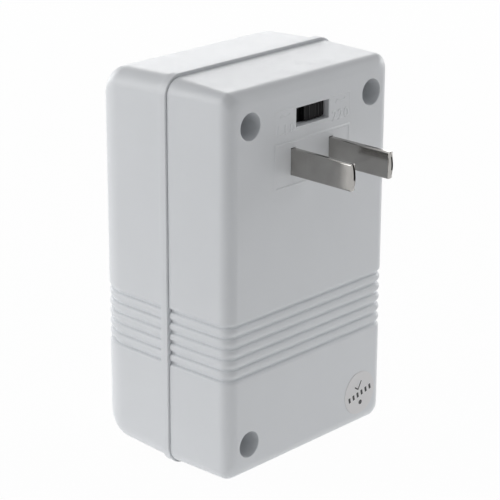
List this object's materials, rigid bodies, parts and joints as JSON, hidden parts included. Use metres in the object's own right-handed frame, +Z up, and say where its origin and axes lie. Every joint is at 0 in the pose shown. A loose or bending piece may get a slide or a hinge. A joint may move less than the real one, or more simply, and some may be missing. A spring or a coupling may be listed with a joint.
{
  "type": "plug-in voltage converter",
  "caption": "Plug-in voltage converter: ribbed white housing with a two-blade plug and a slide voltage selector on one face, a two-pin outlet on the other and a transformer inside.",
  "frame": {"origin": "middle of the level underside of the rim band, on which the housing stands", "axes": "+X to the right seen from the plug face, -Y the way the plug blades point, +Z up"},
  "size_m": [0.056, 0.0618, 0.0934],
  "materials": {
    "white_abs": "satin moulded",
    "black_nylon": "satin moulded",
    "nickel": "satin nickel plate",
    "zinc_steel": "zinc plated",
    "brass": "stamped",
    "silicon_steel": "varnished sheets",
    "copper_enamel": "enamelled wire",
    "copper_bare": "bare drawn wire",
    "polyester_tape": "glossy tape",
    "nylon_natural": "moulded",
    "phenolic": "cut sheet",
    "fuse_body": "plain",
    "paper": "coated",
    "wire_red": "insulated wire",
    "wire_black": "insulated wire",
    "wire_white": "insulated wire",
    "wire_yellow": "insulated wire"
  },
  "bodies": {
    "housing": {"plug_shell": "white_abs", "outlet_shell": "white_abs", "case_screw_top_left": "zinc_steel", "case_screw_top_right": "zinc_steel", "case_screw_bottom_left": "zinc_steel", "case_screw_bottom_right": "zinc_steel", "inspection_sticker": "paper", "plug_blade_left": "nickel", "plug_blade_right": "nickel", "blade_retainer": "phenolic", "blade_retainer_screw_left": "zinc_steel", "blade_retainer_screw_right": "zinc_steel", "selector_frame": "zinc_steel", "selector_base": "phenolic", "selector_screw_left": "zinc_steel", "selector_screw_right": "zinc_steel", "selector_terminal_upper_1": "brass", "selector_terminal_upper_2": "brass", "selector_terminal_upper_3": "brass", "selector_terminal_lower_1": "brass", "selector_terminal_lower_2": "brass", "selector_terminal_lower_3": "brass", "outlet_contact_left": "brass", "outlet_contact_right": "brass", "outlet_retainer": "phenolic", "outlet_retainer_screw_left": "zinc_steel", "outlet_retainer_screw_right": "zinc_steel", "core_e_stack": "silicon_steel", "core_i_stack": "silicon_steel", "bobbin": "nylon_natural", "primary_winding": "copper_enamel", "secondary_winding": "copper_enamel", "winding_tape": "polyester_tape", "thermal_fuse": "fuse_body", "fuse_lead": "wire_red", "wire_live_in": "wire_black", "wire_live_out": "wire_black", "wire_tap_low": "wire_red", "wire_tap_high": "wire_yellow", "wire_neutral_in": "wire_white", "wire_neutral_out": "wire_white", "jumper_low": "copper_bare", "jumper_high": "copper_bare"},
    "selector": {"selector_knob": "black_nylon", "selector_bridge_upper": "brass", "selector_bridge_lower": "brass"}
  },
  "joints": [
    {"name": "selector_slide", "type": "slide", "parent": "housing", "child": "selector", "axis": [1, 0, 0], "range_m": [-0.0038, 0]}
  ]
}
